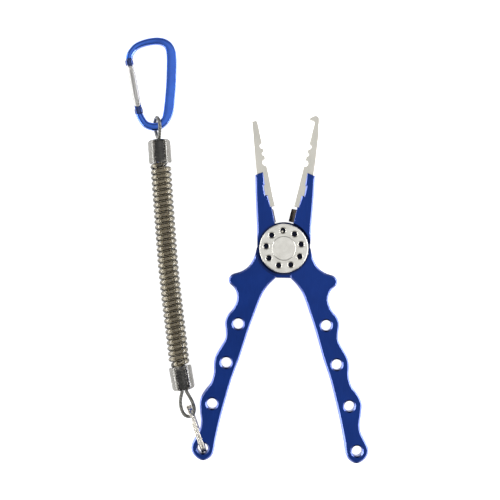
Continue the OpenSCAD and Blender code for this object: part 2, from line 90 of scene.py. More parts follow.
def add_camera():
    data = bpy.data.cameras.new("camera")
    data.lens = LENS
    data.sensor_width = SENSOR
    data.clip_start = CLIP_START_M
    camera = bpy.data.objects.new("camera", data)
    distance = VIEW_WIDTH * LENS / SENSOR
    camera.location = (VIEW_CENTRE + distance * UP) * MM
    bpy.context.scene.collection.objects.link(camera)
    bpy.context.scene.camera = camera


def add_light(name, place_m, size_m, power):
    data = bpy.data.lights.new(name, "AREA")
    data.shape = "RECTANGLE"
    data.size, data.size_y = size_m
    data.energy = power
    light = bpy.data.objects.new(name, data)
    light.location = place_m
    aim = Vector((VIEW_CENTRE.x * MM, 0, 0)) - light.location
    light.rotation_euler = aim.to_track_quat("-Z", "Y").to_euler()
    light.visible_camera = False
    bpy.context.scene.collection.objects.link(light)


def add_world():
    """A plain studio: bright overhead, dimmer round the horizon, and white where it is seen."""
    world = bpy.data.worlds.new("studio")
    bpy.context.scene.world = world
    world.use_nodes = True
    tree = world.node_tree
    background = tree.nodes["Background"]
    place = tree.nodes.new("ShaderNodeTexCoord")
    split = tree.nodes.new("ShaderNodeSeparateXYZ")
    ramp = tree.nodes.new("ShaderNodeValToRGB")
    seen = tree.nodes.new("ShaderNodeMix")
    path = tree.nodes.new("ShaderNodeLightPath")
    seen.data_type = "RGBA"
    seen.inputs["B"].default_value = (1, 1, 1, 1)
    stops = ramp.color_ramp.elements
    stops[0].position = 0.0
    stops[0].color = (0.16, 0.165, 0.175, 1)
    stops[1].position = 0.9
    stops[1].color = (0.72, 0.72, 0.71, 1)
    middle = stops.new(0.45)
    middle.color = (0.34, 0.34, 0.35, 1)
    tree.links.new(place.outputs["Generated"], split.inputs["Vector"])
    tree.links.new(split.outputs["Z"], ramp.inputs["Fac"])
    tree.links.new(ramp.outputs["Color"], seen.inputs["A"])
    tree.links.new(path.outputs["Is Camera Ray"], seen.inputs["Factor"])
    tree.links.new(seen.outputs["Result"], background.inputs["Color"])


def add_floor():
    """A matt white surface that glows a little, so that it stays white where it is seen."""
    corners = [
        (-FLOOR_HALF, -FLOOR_HALF, 0), (FLOOR_HALF, -FLOOR_HALF, 0),
        (FLOOR_HALF, FLOOR_HALF, 0), (-FLOOR_HALF, FLOOR_HALF, 0),
    ]
    mesh = bpy.data.meshes.new("floor")
    mesh.from_pydata([Vector(c) * MM for c in corners], [], [(0, 1, 2, 3)])
    floor = bpy.data.objects.new("floor", mesh)
    bpy.context.scene.collection.objects.link(floor)
    material, shader = principled("floor", base=(0.93, 0.93, 0.93), roughness=0.9)
    shader.inputs["Specular IOR Level"].default_value = 0
    shader.inputs["Emission Color"].default_value = (1, 1, 1, 1)
    shader.inputs["Emission Strength"].default_value = FLOOR_GLOW
    mesh.materials.append(material)


# --- Materials ---


def principled(name, base, roughness, metallic=0.0, coat=0.0, coat_roughness=0.1):
    material = bpy.data.materials.new(name)
    material.use_nodes = True
    shader = material.node_tree.nodes["Principled BSDF"]
    shader.inputs["Base Color"].default_value = (*base, 1)
    shader.inputs["Roughness"].default_value = roughness
    shader.inputs["Metallic"].default_value = metallic
    shader.inputs["Coat Weight"].default_value = coat
    shader.inputs["Coat Roughness"].default_value = coat_roughness
    return material, shader


def object_point(tree, stretch=(1, 1, 1)):
    """The point in the object's own space, in millimetres, divided by stretch."""
    place = tree.nodes.new("ShaderNodeTexCoord")
    mapping = tree.nodes.new("ShaderNodeMapping")
    mapping.vector_type = "POINT"
    mapping.inputs["Scale"].default_value = [1 / (MM * s) for s in stretch]
    tree.links.new(place.outputs["Object"], mapping.inputs["Vector"])
    return mapping.outputs["Vector"]


def noise(tree, point, per_mm, detail=3.0):
    texture = tree.nodes.new("ShaderNodeTexNoise")
    texture.inputs["Scale"].default_value = per_mm
    texture.inputs["Detail"].default_value = detail
    tree.links.new(point, texture.inputs["Vector"])
    return texture.outputs["Fac"]


def ramp(tree, value, low, high, dark, light):
    """Colour from dark at the value low to light at high."""
    node = tree.nodes.new("ShaderNodeValToRGB")
    stops = node.color_ramp.elements
    stops[0].position = low
    stops[0].color = (*dark, 1)
    stops[1].position = high
    stops[1].color = (*light, 1)
    tree.links.new(value, node.inputs["Fac"])
    return node.outputs["Color"]


def spread(tree, value, low, high, to_low, to_high):
    node = tree.nodes.new("ShaderNodeMapRange")
    for socket, number in zip(("From Min", "From Max", "To Min", "To Max"), (low, high, to_low, to_high)):
        node.inputs[socket].default_value = number
    tree.links.new(value, node.inputs["Value"])
    return node.outputs["Result"]


def bump(tree, shader, height, depth, strength=1.0):
    node = tree.nodes.new("ShaderNodeBump")
    node.inputs["Distance"].default_value = depth * MM
    node.inputs["Strength"].default_value = strength
    tree.links.new(height, node.inputs["Height"])
    tree.links.new(node.outputs["Normal"], shader.inputs["Normal"])


def radius_mm(tree):
    """Distance from the pivot axis, in millimetres."""
    point = object_point(tree)
    flat = tree.nodes.new("ShaderNodeVectorMath")
    flat.operation = "MULTIPLY"
    flat.inputs[1].default_value = (1, 1, 0)
    length = tree.nodes.new("ShaderNodeVectorMath")
    length.operation = "LENGTH"
    tree.links.new(point, flat.inputs[0])
    tree.links.new(flat.outputs["Vector"], length.inputs[0])
    return length.outputs["Value"]


def metal(name, dark, light, rough, grain=(1, 1, 1), per_mm=0.5, depth=0.004, coat=0.0, metallic=1.0,
          coat_roughness=0.12):
    """A metal whose tone and polish drift slightly, with a fine grain stretched along an axis."""
    material, shader = principled(name, light, rough[1], metallic, coat, coat_roughness)
    tree = material.node_tree
    cloud = noise(tree, object_point(tree), 0.06, 2)
    lines = noise(tree, object_point(tree, grain), per_mm, 4)
    mixed = tree.nodes.new("ShaderNodeMath")
    mixed.operation = "MULTIPLY_ADD"
    mixed.inputs[1].default_value = 0.45
    tree.links.new(lines, mixed.inputs[0])
    tree.links.new(spread(tree, cloud, 0, 1, 0, 0.55), mixed.inputs[2])
    tone = mixed.outputs["Value"]
    tree.links.new(ramp(tree, tone, 0.35, 0.65, dark, light), shader.inputs["Base Color"])
    tree.links.new(spread(tree, lines, 0.3, 0.7, *rough), shader.inputs["Roughness"])
    bump(tree, shader, lines, depth)
    return material


def leaning_share(tree, flattest, steepest):
    """How much a surface leans like a chamfer, from 0 to 1, and the same only where it faces sideways.
    flattest and steepest are the upward parts of the normal between which it leans."""
    place = tree.nodes.new("ShaderNodeTexCoord")
    split = tree.nodes.new("ShaderNodeSeparateXYZ")
    tree.links.new(place.outputs["Normal"], split.inputs["Vector"])
    parts = []
    for axis in ("Z", "X"):
        size = tree.nodes.new("ShaderNodeMath")
        size.operation = "ABSOLUTE"
        tree.links.new(split.outputs[axis], size.inputs[0])
        parts.append(size.outputs["Value"])
    leaning = ramp(tree, parts[0], steepest - 0.15, steepest, (0, 0, 0), (1, 1, 1))
    stops = leaning.node.color_ramp.elements
    stops.new(flattest).color = (1, 1, 1, 1)
    stops.new(flattest + 0.12).color = (0, 0, 0, 1)
    return leaning, product(tree, leaning, spread(tree, parts[1], 0.1, 0.6, 0, 1))


def product(tree, one, other):
    node = tree.nodes.new("ShaderNodeMath")
    node.operation = "MULTIPLY"
    tree.links.new(one, node.inputs[0])
    tree.links.new(other, node.inputs[1])
    return node.outputs["Value"]


def anodised(name, dark, light, rough, painted_highlight, coat, coat_roughness):
    """Anodised aluminium with painted light: painted shade on every chamfer, a painted highlight on the
    chamfers that face sideways outside the boss, and painted shade under the pivot's disc.
    """
    material = metal(name, dark, light, rough, (0.6, 6, 1), 0.9, 0.002, coat, coat_roughness=coat_roughness)
    tree = material.node_tree
    shader = tree.nodes["Principled BSDF"]
    flat_colour = shader.inputs["Base Color"].links[0].from_socket
    leaning, sideways = leaning_share(tree, 0.82, 0.60)
    radius = radius_mm(tree)
    # Painted light on the chamfers: all are darkened as painted shade, and those that face sideways outside
    # the boss get the pale colour as a painted highlight.
    share = product(tree, sideways, spread(tree, radius, BOSS_R + 0.5, BOSS_R + 2, 0, 1))
    chamfers = mixed_colour(tree, leaning, flat_colour, [c * 0.45 for c in dark])
    edge = mixed_colour(tree, share, chamfers, painted_highlight)
    # Painted shade under the pivot's disc: full under the disc, fading out just past the boss.
    painted_shade_under_disc = spread(tree, radius, DISC_R - 0.1, BOSS_R + 0.6, 1, 0)
    tree.links.new(mixed_colour(tree, painted_shade_under_disc, edge, [c * 0.1 for c in dark]), shader.inputs["Base Color"])
    return material


def hook_anodised(name, dark, light, rough, painted_highlight):
    """The hook's brighter blue: a painted highlight along its rounded sides, with a dark collar at each end.
    """
    material = metal(name, dark, light, rough, per_mm=0.3, depth=0.002, coat=1.0, coat_roughness=0.05)
    tree = material.node_tree
    shader = tree.nodes["Principled BSDF"]
    colour = shader.inputs["Base Color"].links[0].from_socket
    # Painted highlight: the pale colour on sides that lean and face sideways.
    colour = mixed_colour(tree, leaning_share(tree, 0.68, 0.50)[1], colour, painted_highlight)
    point = object_point(tree)
    for collar in HOOK_COLLARS:
        distance = tree.nodes.new("ShaderNodeVectorMath")
        distance.operation = "DISTANCE"
        distance.inputs[1].default_value = collar
        tree.links.new(point, distance.inputs[0])
        near = spread(tree, distance.outputs["Value"], 2.5, 2.9, 1, 0)
        colour = mixed_colour(tree, near, colour, [c * 0.3 for c in dark])
    tree.links.new(colour, shader.inputs["Base Color"])
    return material


def mixed_colour(tree, share, colour, other):
    """A colour socket mixed with another, fixed colour."""
    mix = tree.nodes.new("ShaderNodeMix")
    mix.data_type = "RGBA"
    tree.links.new(share, mix.inputs["Factor"])
    tree.links.new(colour, mix.inputs["A"])
    mix.inputs["B"].default_value = (*other, 1)
    return mix.outputs["Result"]


def turned_metal(name, dark, light, rough):
    """Steel faced on a lathe: fine rings about the pivot axis."""
    material, shader = principled(name, light, rough[1], 1.0)
    tree = material.node_tree
    radius = radius_mm(tree)
    rings = tree.nodes.new("ShaderNodeTexNoise")
    rings.noise_dimensions = "1D"
    rings.inputs["Scale"].default_value = 3.2
    rings.inputs["Detail"].default_value = 3
    tree.links.new(radius, rings.inputs["W"])
    cloud = noise(tree, object_point(tree), 0.25, 4)
    tree.links.new(ramp(tree, cloud, 0.35, 0.65, dark, light), shader.inputs["Base Color"])
    tree.links.new(spread(tree, rings.outputs["Fac"], 0.3, 0.7, *rough), shader.inputs["Roughness"])
    bump(tree, shader, rings.outputs["Fac"], 0.012)
    return material


# The coil's mesh attribute that says how much each point of the cord faces the turn beside it, and so where
# shade is painted between the turns
FACING_NEXT_TURN = "facing_next_turn"


def clear_plastic(name, dark, light, rough, transmission, ior=1.49, crevice_shade=None):
    """A see-through plastic, tinted, with slight cloudiness and a soft surface ripple. The last argument,
    when given, is the share of the tint that is left where two turns of the coil touch: painted shade in the
    crease between them."""
    material, shader = principled(name, light, rough[1])
    shader.inputs["Transmission Weight"].default_value = transmission
    shader.inputs["IOR"].default_value = ior
    tree = material.node_tree
    cloud = noise(tree, object_point(tree), 0.35, 3)
    tint = ramp(tree, cloud, 0.35, 0.65, dark, light)
    if crevice_shade is not None:
        facing = tree.nodes.new("ShaderNodeAttribute")
        facing.attribute_name = FACING_NEXT_TURN
        # Painted shade: the tint darkens where the cord faces the next turn, in the creases between turns.
        touching = spread(tree, facing.outputs["Fac"], 0.50, 0.85, 0, 1)
        tint = mixed_colour(tree, touching, tint, [c * crevice_shade for c in dark])
    tree.links.new(tint, shader.inputs["Base Color"])
    tree.links.new(spread(tree, cloud, 0.3, 0.7, *rough), shader.inputs["Roughness"])
    bump(tree, shader, noise(tree, object_point(tree), 0.35, 1), 0.02, 0.4)
    return material


def make_materials():
    return {
        "anodised_blue": anodised(
            "anodised_blue", (0.004, 0.028, 0.185), (0.006, 0.037, 0.24), (0.30, 0.38),
            # The pale colour is a painted highlight for chamfers that face sideways.
            painted_highlight=(0.22, 0.29, 0.72), coat=0.20, coat_roughness=0.14,
        ),
        "hook_blue": hook_anodised(
            # The pale colour is a painted highlight along the hook's rounded sides.
            "hook_blue", (0.010, 0.085, 0.50), (0.018, 0.125, 0.64), (0.14, 0.20), painted_highlight=(0.30, 0.42, 0.85),
        ),
        "stainless": metal(
            "stainless", (0.58, 0.57, 0.52), (0.70, 0.68, 0.62), (0.30, 0.42),
            grain=(0.5, 5, 1), per_mm=1.1, depth=0.004,
        ),
        "turned_steel": turned_metal("turned_steel", (0.68, 0.665, 0.62), (0.80, 0.785, 0.74), (0.24, 0.38)),
        "polished_steel": metal(
            "polished_steel", (0.56, 0.53, 0.47), (0.70, 0.67, 0.61), (0.12, 0.20), per_mm=0.6, depth=0.002,
        ),
        "polished_aluminium": metal(
            "polished_aluminium", (0.50, 0.495, 0.48), (0.60, 0.59, 0.575), (0.42, 0.52),
            grain=(0.5, 5, 1), per_mm=0.8, depth=0.003,
        ),
        "carbide": metal(
            "carbide", (0.030, 0.026, 0.024), (0.060, 0.050, 0.044), (0.30, 0.42), per_mm=0.8, depth=0.004,
        ),
        "bronze": metal("bronze", (0.45, 0.27, 0.12), (0.62, 0.40, 0.20), (0.28, 0.40)),
        "coated_wire": wire_material(),
        "smoke_cord": clear_plastic(
            "smoke_cord", (0.31, 0.275, 0.202), (0.44, 0.395, 0.298), (0.05, 0.10), 0.94,
            # The cord's tint keeps only this share as painted shade where its turns touch.
            ior=1.56, crevice_shade=0.02,
        ),
        "smoke_sleeve": clear_plastic(
            "smoke_sleeve", (0.27, 0.26, 0.238), (0.37, 0.36, 0.333), (0.04, 0.09), 0.97,
        ),
        # Painted shade: the crimp inside the sleeve is coloured near black.
        "crimp_painted_shade": metal(
            "crimp_painted_shade", (0.012, 0.010, 0.006), (0.030, 0.026, 0.015), (0.35, 0.5), metallic=0.3, coat=0.15,
        ),
    }


def wire_material():
    """Stranded wire under a clear grey coat: slanted strands that show through a smooth skin."""
    material, shader = principled("coated_wire", (0.2, 0.2, 0.19), 0.32, 0.45, 0.8, 0.08)
    tree = material.node_tree
    strands = tree.nodes.new("ShaderNodeTexWave")
    strands.wave_type = "BANDS"
    strands.bands_direction = "DIAGONAL"
    strands.inputs["Scale"].default_value = 0.32
    strands.inputs["Distortion"].default_value = 1.5
    tree.links.new(object_point(tree), strands.inputs["Vector"])
    colour = ramp(tree, strands.outputs["Fac"], 0.2, 0.8, (0.09, 0.09, 0.078), (0.23, 0.225, 0.20))
    tree.links.new(colour, shader.inputs["Base Color"])
    bump(tree, shader, strands.outputs["Fac"], 0.02, 0.5)
    return material


# --- Shapes ---

# Vertices of a CAD mesh that are this near are one
JOIN = 0.002
# Angles between faces: below the first they are one flat face, and above the second the edge is sharp
FLAT = math.radians(0.4)
SHARP = math.radians(30)
# The rounding that breaks a machined edge
FINE_ROUNDING = 0.06


def along(start, angle, offset):
    """A point given along an axis that leaves start at an angle in the XY plane."""
    turned = Matrix.Rotation(math.radians(angle), 3, "Z") @ Vector(offset)
    return Vector(start) + turned


def between(a, b, c, d, t):
    return (2 * b + (c - a) * t + (2 * a - 5 * b + 4 * c - d) * t * t + (3 * b - a - 3 * c + d) * t**3) / 2


def smooth(points, steps):
    """A smooth curve through all the points, with steps stretches between each two."""
    points = [Vector(p) for p in points]
    last = len(points) - 1
    curve = [
        between(points[max(i - 1, 0)], points[i], points[i + 1], points[min(i + 2, last)], j / steps)
        for i in range(last)
        for j in range(steps)
    ]
    return curve + [points[last]]


def round_section(radius, sides=12):
    turns = [math.tau * k / sides for k in range(sides)]
    return [(radius * math.cos(a), radius * math.sin(a)) for a in turns]


def squared_section(half_w, half_t, power, sides=28):
    """An ellipse at power 2, and closer to a rounded rectangle the higher the power."""
    points = []
    for k in range(sides):
        c, s = math.cos(math.tau * k / sides), math.sin(math.tau * k / sides)
        across = math.copysign(abs(c) ** (2 / power), c)
        over = math.copysign(abs(s) ** (2 / power), s)
        points.append((half_w * across, half_t * over))
    return points


def sweep(path, ups, sections):
    """Vertices and faces of a closed tube along a path. ups and sections hold one item per point."""
    last, sides = len(path) - 1, len(sections[0])
    points, faces = [], []
    for i, centre in enumerate(path):
        ahead = (path[min(i + 1, last)] - path[max(i - 1, 0)]).normalized()
        side = ahead.cross(ups[i]).normalized()
        top = side.cross(ahead)
        points += [centre + a * side + b * top for a, b in sections[i]]
    for i in range(last):
        for k in range(sides):
            a, b = i * sides + k, i * sides + (k + 1) % sides
            faces.append((a, b, b + sides, a + sides))
    faces.append(tuple(reversed(range(sides))))
    faces.append(tuple(last * sides + k for k in range(sides)))
    return points, faces


def lathe(profile, place, sides=64):
    """A closed profile of (along X, radius) points, turned about X and put in place by a matrix."""
    count = len(profile)
    points, faces = [], []
    for k in range(sides):
        a = math.tau * k / sides
        points += [place @ Vector((x, r * math.cos(a), r * math.sin(a))) for x, r in profile]
    for k in range(sides):
        for i in range(count):
            a, b = k * count + i, k * count + (i + 1) % count
            c, d = (k + 1) % sides * count + i, (k + 1) % sides * count + (i + 1) % count
            faces.append((a, c, d, b))
    return points, faces


def at_end(end, angle):
    return Matrix.Translation(Vector(end)) @ Matrix.Rotation(math.radians(angle), 4, "Z")


def shade(mesh, sharp_degrees=32):
    """Smooth shading, broken at edges sharper than an angle, with all faces outwards."""
    shape = bmesh.new()
    shape.from_mesh(mesh)
    bmesh.ops.recalc_face_normals(shape, faces=shape.faces)
    for face in shape.faces:
        face.smooth = True
    for edge in shape.edges:
        if len(edge.link_faces) == 2:
            edge.smooth = edge.calc_face_angle() < math.radians(sharp_degrees)
    shape.to_mesh(mesh)
    shape.free()


def finish_piece(obj, body, material, nodes):
    obj.data.materials.clear()
    obj.data.materials.append(materials[material])
    if body:
        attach(obj, body)
    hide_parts(*nodes)
    return obj


def piece(name, shape, body, material, nodes, sharp_degrees=32):
    """A new piece from vertices in millimetres and faces, riding on a body and standing for nodes."""
    points, faces = shape
    mesh = bpy.data.meshes.new(name)
    mesh.from_pydata([Vector(p) * MM for p in points], [], faces)
    shade(mesh, sharp_degrees)
    obj = bpy.data.objects.new(name, mesh)
    bpy.context.scene.collection.objects.link(obj)
    return finish_piece(obj, body, material, nodes)


def edge_break(obj, width):
    """A small rounding on every sharp edge, with flat faces kept flat."""
    bevel = obj.modifiers.new("edge_break", "BEVEL")
    bevel.limit_method = "ANGLE"
    bevel.angle_limit = SHARP
    bevel.width = width * MM
    bevel.segments = 2
    bevel.use_clamp_overlap = False
    bevel.harden_normals = True


def node_shape(node):
    """A CAD node's shape, to be worked on, with its vertices joined where faces meet."""
    shape = bmesh.new()
    shape.from_mesh(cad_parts[node].data)
    bmesh.ops.remove_doubles(shape, verts=shape.verts, dist=JOIN * MM)
    return shape


def shaped(name, shape, cad_normals):
    """A new object with a worked shape as its mesh. cad_normals keeps the normals of the CAD mesh."""
    mesh = bpy.data.meshes.new(name)
    shape.to_mesh(mesh)
    shape.free()
    if not cad_normals and "custom_normal" in mesh.attributes:
        mesh.attributes.remove(mesh.attributes["custom_normal"])
    shade(mesh)
    obj = bpy.data.objects.new(name, mesh)
    bpy.context.scene.collection.objects.link(obj)
    return obj


def worked(name, node, body, material, rounding=FINE_ROUNDING, chamfer=0.0, chamfered=None):
    """A finished copy of a CAD node. chamfered says, from the middle of a sharp edge, whether it gets
    the chamfer; rounding then breaks every edge that is left."""
    shape = node_shape(node)
    bmesh.ops.dissolve_limit(shape, angle_limit=FLAT, verts=shape.verts, edges=shape.edges)
    if chamfered:
        weights = shape.edges.layers.float.new("bevel_weight_edge")
        for edge in shape.edges:
            if len(edge.link_faces) == 2 and edge.calc_face_angle() > SHARP:
                middle = (edge.verts[0].co + edge.verts[1].co) / (2 * MM)
                edge[weights] = 1.0 if chamfered(middle) else 0.0
    obj = shaped(name, shape, cad_normals=False)
    if chamfered:
        bevel = obj.modifiers.new("chamfers", "BEVEL")
        bevel.limit_method = "WEIGHT"
        bevel.width = chamfer * MM
        bevel.segments = 1
        bevel.use_clamp_overlap = False
    edge_break(obj, rounding)
    return finish_piece(obj, body, material, [node])


def rim_loops(faces):
    """The closed loops of vertices round a patch of flat faces, in the faces' own winding."""
    follows = {}
    for face in faces:
        for corner in face.loops:
            if sum(other in faces for other in corner.edge.link_faces) == 1:
                follows[corner.vert] = corner.link_loop_next.vert
    loops = []
    while follows:
        start, vert = follows.popitem()
        loop = [start]
        while vert != start:
            loop.append(vert)
            vert = follows.pop(vert)
        loops.append(loop)
    return loops


def inside(point, outlines):
    """Whether a point is inside an odd number of closed outlines."""
    odd = False
    for outline in outlines:
        a = outline[-1]
        for b in outline:
            if (a.y > point.y) != (b.y > point.y):
                crossing = a.x + (b.x - a.x) * (point.y - a.y) / (b.y - a.y)
                if point.x < crossing:
                    odd = not odd
            a = b
    return odd


def moved_in(shape, loop, way, width):
    """A rim: each vertex of a loop, its chamfer's size, and its copy on the smaller flat face."""
    rim = []
    for i, vert in enumerate(loop):
        size = width(vert.co / MM) * MM
        step_in = (vert.co - loop[i - 1].co).normalized()
        step_out = (loop[(i + 1) % len(loop)].co - vert.co).normalized()
        mitre = (way * UP).cross(step_in + step_out)
        moved = vert.co + 2 * size * mitre / max(mitre.length_squared, 0.8)
        rim.append((vert, size, shape.verts.new(moved) if size else vert))
    return rim


def add_slopes(shape, rim, way):
    """The chamfer's own faces, between a rim's vertices and their copies."""
    for (a, _, c), (b, _, d) in zip(rim, rim[1:] + rim[:1]):
        around = list(dict.fromkeys((a, b, d, c)))
        if len(around) > 2:
            shape.faces.new(around)
    for vert, size, _ in rim:
        vert.co.z -= way * size


def chamfer_face(shape, height, width):
    """Cuts a chamfer round the flat faces at a height: width gives its size near a point."""
    way = math.copysign(1, height - MID_Z)
    flat = {
        f for f in shape.faces
        if f.normal.z * way > 0.999 and all(abs(v.co.z / MM - height) < 0.01 for v in f.verts)
    }
    rims = [moved_in(shape, loop, way, width) for loop in rim_loops(flat)]
    outlines = [[new.co.xy / MM for _, _, new in rim] for rim in rims]
    bmesh.ops.delete(shape, geom=list(flat), context="FACES_ONLY")
    for rim in rims:
        add_slopes(shape, rim, way)
    fill_flat(shape, rims, outlines, height, way)


def fill_flat(shape, rims, outlines, height, way):
    """Fills the space between the rims' copies with flat triangles."""
    tops = [new for rim in rims for _, _, new in rim]
    edges, first = [], 0
    for rim in rims:
        count = len(rim)
        edges += [(first + i, first + (i + 1) % count) for i in range(count)]
        first += count
    flat_points = [v for outline in outlines for v in outline]
    points, _, triangles, origins, _, _ = delaunay_2d_cdt(flat_points, edges, [], 0, 1e-4)
    corners = [
        tops[origins[i][0]] if origins[i] else shape.verts.new((*(p * MM), height * MM))
        for i, p in enumerate(points)
    ]
    for triangle in triangles:
        middle = sum((points[i] for i in triangle), Vector((0, 0))) / 3
        if inside(middle, outlines):
            around = triangle if way > 0 else tuple(reversed(triangle))
            shape.faces.new([corners[i] for i in around])


def plate(name, node, body, width):
    """A finished copy of a half: its two flat faces are cut back from their outlines by a chamfer."""
    shape = node_shape(node)
    for height in (REAR_Z, FRONT_Z):
        chamfer_face(shape, height, width)
    obj = shaped(name, shape, cad_normals=True)
    edge_break(obj, FINE_ROUNDING)
    return finish_piece(obj, body, "anodised_blue", [node])


# --- The coiled cord ---

# Radius of the whole coil, and the cord's diameter
COIL_R = 5.85
CORD_D = 2.9
CORD_SIDES = 12
RINGS_PER_TURN = 24
LOWER_END = Vector((-56.8, -64.5, 6.25))
UPPER_END = Vector((-67.4, 46.5, 6.25))
LOWER_ANGLE = -80
UPPER_ANGLE = 94
COIL_ROUTE = [
    LOWER_END, along(LOWER_END, LOWER_ANGLE, (-2, 0, 0)), (-58.6, -50, 6.1), (-60.9, -31, 6),
    (-63, -12, 6), (-64.6, 8, 6), (-66, 27, 6.1),
    along(UPPER_END, UPPER_ANGLE, (-2, 0, 0)), UPPER_END,
]
# Full turns between the sleeves, and at each end the part of a turn that winds into the sleeve
FULL_TURNS = 36
END_TURN = 0.9
# How deep each end of the cord sits in its sleeve, and its clear distance from the sleeve's face
CORD_DEPTH = 2.0
FACE_GAP = 1.6
# Radius of the cord's line inside a sleeve, and the turns from its end over which it opens out
TUCKED_R = 1.9
OPENS_FROM = 0.35
OPENS_OVER = 0.75


def ease(t):
    t = min(max(t, 0.0), 1.0)
    return t * t * (3 - 2 * t)


def coil_line():
    """The cord's centreline, and each point's share of the way from the lower end to the upper."""
    route = smooth(COIL_ROUTE, 16)
    spans = [(b - a).length for a, b in zip(route, route[1:])]
    total = sum(spans)

    def on_route(s):
        i = 0
        left = s
        while i < len(spans) - 1 and left > spans[i]:
            left -= spans[i]
            i += 1
        ahead = (route[i + 1] - route[i]).normalized()
        return route[i] + left * ahead, ahead

    turns = FULL_TURNS + 2 * END_TURN
    pitch = (total - 2 * FACE_GAP) / FULL_TURNS
    count = round(turns * RINGS_PER_TURN)
    line, shares = [], []
    for n in range(count + 1):
        turn = turns * n / count
        from_end = min(turn, turns - turn)
        if from_end < END_TURN:
            deep = -CORD_DEPTH + (CORD_DEPTH + FACE_GAP) * from_end / END_TURN
        else:
            deep = FACE_GAP + pitch * (from_end - END_TURN)
        s = deep if turn < turns / 2 else total - deep
        centre, ahead = on_route(s)
        side = ahead.cross(UP).normalized()
        top = side.cross(ahead)
        opened = ease((from_end - OPENS_FROM) / OPENS_OVER)
        radius = TUCKED_R + (COIL_R - CORD_D / 2 - TUCKED_R) * opened
        a = math.tau * turn
        line.append(centre + radius * (math.sin(a) * side + math.cos(a) * top))
        shares.append(min(max(s / total, 0.0), 1.0))
    return line, shares


def make_coil():
    line, shares = coil_line()
    half_turn = RINGS_PER_TURN // 2
    ups = []
    for i, point in enumerate(line):
        before = line[max(i - half_turn, 0)]
        after = line[min(i + half_turn, len(line) - 1)]
        ups.append((point - (before + after) / 2).normalized())
    shape = sweep(line, ups, [round_section(CORD_D / 2, CORD_SIDES)] * len(line))
    coil = piece("coil_cord", shape, None, "smoke_cord", ["coil"], sharp_degrees=80)
    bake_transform(coil)
    # A section's first direction runs along the coil, towards the turns on both sides
    # This attribute masks the cord's painted shade between turns.
    facing = [abs(across) / (CORD_D / 2) for across, _ in round_section(CORD_D / 2, CORD_SIDES)]
    attribute = coil.data.attributes.new(FACING_NEXT_TURN, "FLOAT", "POINT")
    attribute.data.foreach_set("value", facing * len(line))
    return coil, line


# --- Sleeves, crimps and wire eyes ---

SLEEVE_R = 6.25
SLEEVE_L = 13.2
SLEEVE_ROUND = 2.0
SLEEVE_BORE_R = 3.4
# The bore's mouth, where the cord winds in: radius and depth
MOUTH = (3.9, 0.8)
CRIMP_R = 3.3
CRIMP_X = (2.4, 12.0)
CRIMP_RIDGES = 6
RIDGE_DEPTH = 0.45
WIRE_R = 0.97
WIRE_APART = 1.15
LOWER_LOOP = [
    (3, -WIRE_APART, 0), (13, -WIRE_APART, 0), (15.4, -1.9, 0), (19, -3.1, 0), (23.6, -3.2, 0),
    (26.8, -2, 0), (28, 0.2, 0), (27.2, 2.4, 0), (24.6, 3.6, 0), (21, 3.4, 0), (17.4, 2.3, 0),
    (14.6, 1.3, 0), (13, WIRE_APART, 0), (3, WIRE_APART, 0),
]
UPPER_LOOP = [
    (3, 0, WIRE_APART), (12, 0, WIRE_APART), (13.2, 0, WIRE_APART), (16.2, -0.8, 2.2), (20.1, -1.2, 2.95),
    (23.6, -0.8, 2), (25.4, 0.3, -0.4), (23.7, 1.5, -3), (20.3, 1.9, -4.15), (16, 1.2, -2.8),
    (13.2, 0, -WIRE_APART), (12, 0, -WIRE_APART), (3, 0, -WIRE_APART),
]


def sleeve_profile():
    """From the coil's side out: a slight lead-in, a straight wall and a rounded end, then the bore."""
    outer = [(0.0, SLEEVE_R - 0.45), (0.25, SLEEVE_R - 0.12), (0.8, SLEEVE_R)]
    middle = SLEEVE_L - SLEEVE_ROUND
    corner = [
        (middle + SLEEVE_ROUND * math.sin(a), SLEEVE_R - SLEEVE_ROUND + SLEEVE_ROUND * math.cos(a))
        for a in [math.radians(d) for d in range(0, 91, 10)]
    ]
    lip = 0.25
    bore = [(SLEEVE_L, SLEEVE_BORE_R + lip), (SLEEVE_L - lip, SLEEVE_BORE_R), (MOUTH[1], SLEEVE_BORE_R),
            (lip, MOUTH[0]), (0.0, MOUTH[0] + lip / 2)]
    return outer + corner + bore


def crimp_profile():
    """A ridged ferrule, closed at both ends."""
    step = (CRIMP_X[1] - CRIMP_X[0]) / CRIMP_RIDGES
    profile = [(CRIMP_X[0], 0.001)]
    for ridge in range(CRIMP_RIDGES):
        start = CRIMP_X[0] + ridge * step
        for share, drop in ((0.0, 1), (0.15, 0.25), (0.3, 0), (0.7, 0), (0.85, 0.25)):
            profile.append((start + share * step, CRIMP_R - RIDGE_DEPTH * drop))
    return profile + [(CRIMP_X[1], CRIMP_R - RIDGE_DEPTH), (CRIMP_X[1], 0.001)]


def make_end(where, end, angle, loop, body, up):
    """A lanyard end: its see-through sleeve, the ridged crimp inside, and the wire eye."""
    place = at_end(end, angle)
    sleeve = piece(f"{where}_sleeve_clear", lathe(sleeve_profile(), place, 72), body, "smoke_sleeve",
                   [f"{where}_sleeve"])
    # The crimp takes the near-black colour that paints the shade inside the sleeve.
    crimp = piece(f"{where}_crimp_ridged", lathe(crimp_profile(), place, 48), body, "crimp_painted_shade",
                  [f"{where}_crimp"])
    path = smooth([along(end, angle, p) for p in loop], 8)
    wire = sweep(path, [up] * len(path), [round_section(WIRE_R, 20)] * len(path))
    eye = piece(f"{where}_eye_wire", wire, body, "coated_wire", [f"{where}_eye"], sharp_degrees=60)
    return [sleeve, crimp, eye]


# --- Split ring ---

